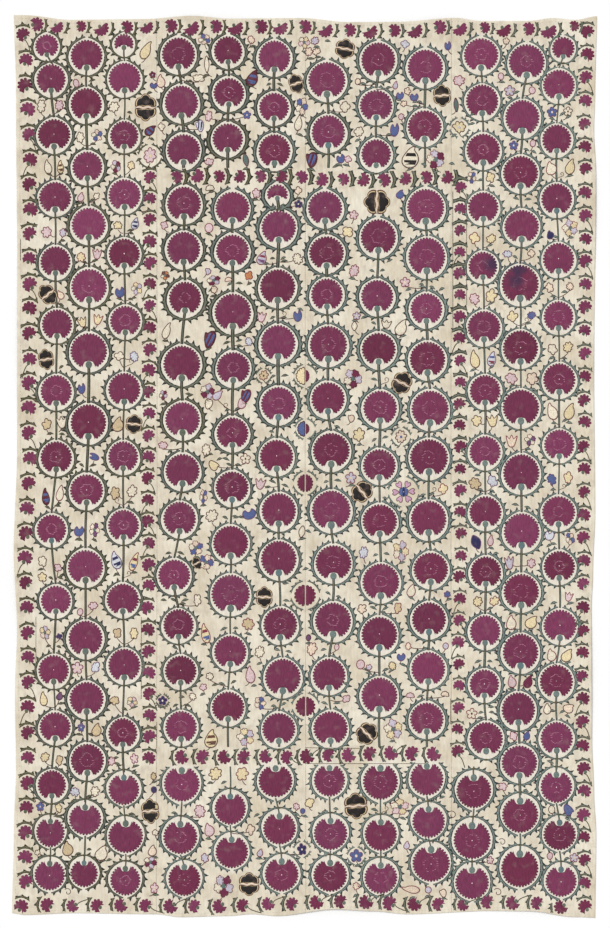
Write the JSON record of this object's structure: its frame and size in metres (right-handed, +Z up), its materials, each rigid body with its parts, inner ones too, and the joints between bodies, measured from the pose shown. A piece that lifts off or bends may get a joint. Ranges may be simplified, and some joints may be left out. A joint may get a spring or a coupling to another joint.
{
  "type": "suzani embroidered textile",
  "caption": "Large flat rectangular cotton cover of long panels sewn edge to edge, embroidered in silk with round crimson blossoms in green wreaths; lies on a surface or hangs on a wall.",
  "frame": {"origin": "middle of the outline's box, on the surface that the cloth lies on", "axes": "+X across the cloth to the right seen from above, +Y along it to its upper edge, +Z up out of the embroidered face"},
  "size_m": [1.616, 2.494, 0.0072],
  "materials": {
    "cotton": "cream hand-loomed cotton, matt, blotched with age",
    "crimson_silk": "laid crimson silk thread, soft sheen along the stitches",
    "green_silk": "grey-green silk thread, soft sheen",
    "mixed_silk": "chain-stitched silk thread in yellow, pink, blue, maroon and black-brown"
  },
  "bodies": {
    "root": {"panel_1": "cotton", "panel_2": "cotton", "panel_3": "cotton", "panel_4": "cotton"}
  },
  "joints": []
}
